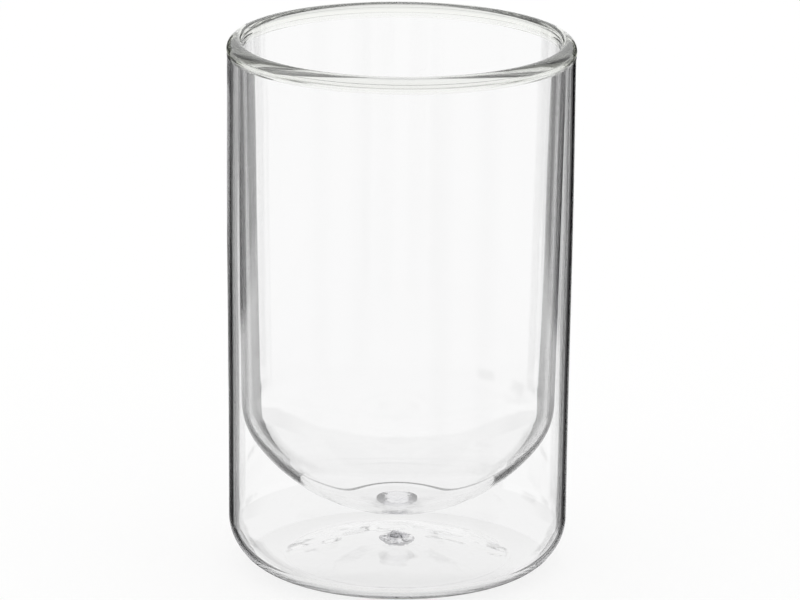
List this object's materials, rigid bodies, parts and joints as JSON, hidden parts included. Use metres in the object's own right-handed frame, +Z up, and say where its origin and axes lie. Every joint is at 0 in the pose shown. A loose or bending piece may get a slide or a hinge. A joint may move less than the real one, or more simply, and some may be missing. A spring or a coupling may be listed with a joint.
{
  "type": "double walled glass cup",
  "caption": "Tall straight tumbler with two glass walls, a thick round rim, a rounded bowl hanging inside and a hollow base.",
  "frame": {"origin": "centre of the flat ring that the cup stands on, at the level of the table", "axes": "+Z up along the axis of the cup, through the open rim; the cup is round, so X and Y are alike"},
  "size_m": [0.08, 0.08, 0.1246],
  "materials": {
    "blown_glass": "clear blown borosilicate glass, fire polished",
    "rim_glass": "thick fused borosilicate glass, faint olive tint along the rim",
    "fused_seal": "melted and fused glass, slightly uneven"
  },
  "bodies": {
    "root": {"outer_wall": "blown_glass", "inner_vessel": "blown_glass", "rim_bead": "rim_glass", "base_vent_seal": "fused_seal", "floor_button": "fused_seal"}
  },
  "joints": []
}
